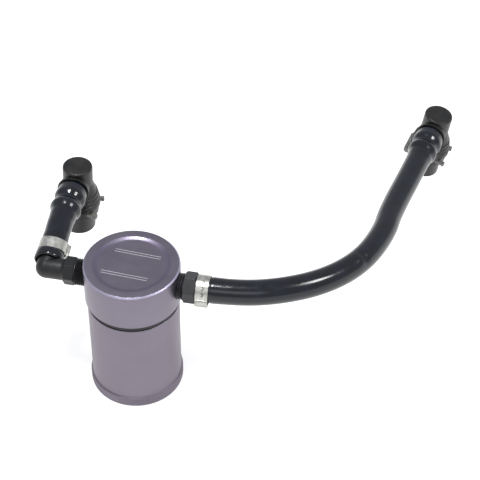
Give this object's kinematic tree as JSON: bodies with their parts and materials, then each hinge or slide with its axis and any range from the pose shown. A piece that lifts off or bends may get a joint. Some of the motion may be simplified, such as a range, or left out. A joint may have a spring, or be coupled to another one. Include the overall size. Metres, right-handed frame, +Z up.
{
  "type": "oil catch can",
  "caption": "Round metal oil catch can with a screw cap, two barbed fittings, a short and a long rubber hose, and a quick connector on the end of each hose.",
  "frame": {"origin": "centre of the can's flat base", "axes": "+Z up along the can, +X out of the right-hand port, +Y to the back, the way both hoses run"},
  "size_m": [0.271, 0.2562, 0.1109],
  "materials": {
    "can_anodised": "satin anodised grey",
    "cap_anodised": "satin anodised grey",
    "seal_rubber": "moulded black rubber",
    "tube_aluminium": "drawn tube",
    "mesh_steel": "knitted stainless wire",
    "plate_steel": "perforated stainless sheet",
    "ring_steel": "spring steel",
    "fitting_black": "moulded black nylon",
    "clamp_steel": "satin stainless band",
    "hose_rubber": "smooth black rubber",
    "connector_plastic": "moulded black nylon",
    "clip_plastic": "moulded grey acetal",
    "spacer_plastic": "natural nylon"
  },
  "bodies": {
    "can": {"can": "can_anodised"},
    "seal": {"seal_ring": "seal_rubber"},
    "cap_side": {"cap": "cap_anodised", "inlet_tube": "tube_aluminium", "mesh_pack": "mesh_steel", "screen_plate": "plate_steel", "snap_ring": "ring_steel", "left_elbow": "fitting_black", "right_fitting": "fitting_black", "left_clamp": "clamp_steel", "right_clamp": "clamp_steel", "left_hose": "hose_rubber", "right_hose": "hose_rubber", "left_connector": "connector_plastic", "left_spacer": "spacer_plastic", "left_bush": "spacer_plastic", "left_front_seal": "seal_rubber", "left_rear_seal": "seal_rubber", "right_connector": "connector_plastic", "right_spacer": "spacer_plastic", "right_bush": "spacer_plastic", "right_front_seal": "seal_rubber", "right_rear_seal": "seal_rubber"},
    "left_clip": {"left_clip": "clip_plastic"},
    "right_clip": {"right_clip": "clip_plastic"}
  },
  "joints": [
    {"name": "cap_rise", "type": "slide", "parent": "can", "child": "seal", "axis": [0, 0, 1], "range_m": [0, 0.00601]},
    {"name": "cap_turn", "type": "hinge", "parent": "seal", "child": "cap_side", "pos_m": [0, 0, 0.078], "axis": [0, 0, 1], "range_deg": [0, 1440]},
    {"name": "left_clip_pull", "type": "slide", "parent": "cap_side", "child": "left_clip", "axis": [-0.9994, 0.013, 0.0314], "range_m": [0, 0.0055]},
    {"name": "right_clip_pull", "type": "slide", "parent": "cap_side", "child": "right_clip", "axis": [-0.9682, 0.2115, 0.134], "range_m": [0, 0.0055]}
  ],
  "couplings": [
    {"joint": "cap_rise", "follows": "cap_turn", "m_per_rad": 0.00023873}
  ]
}
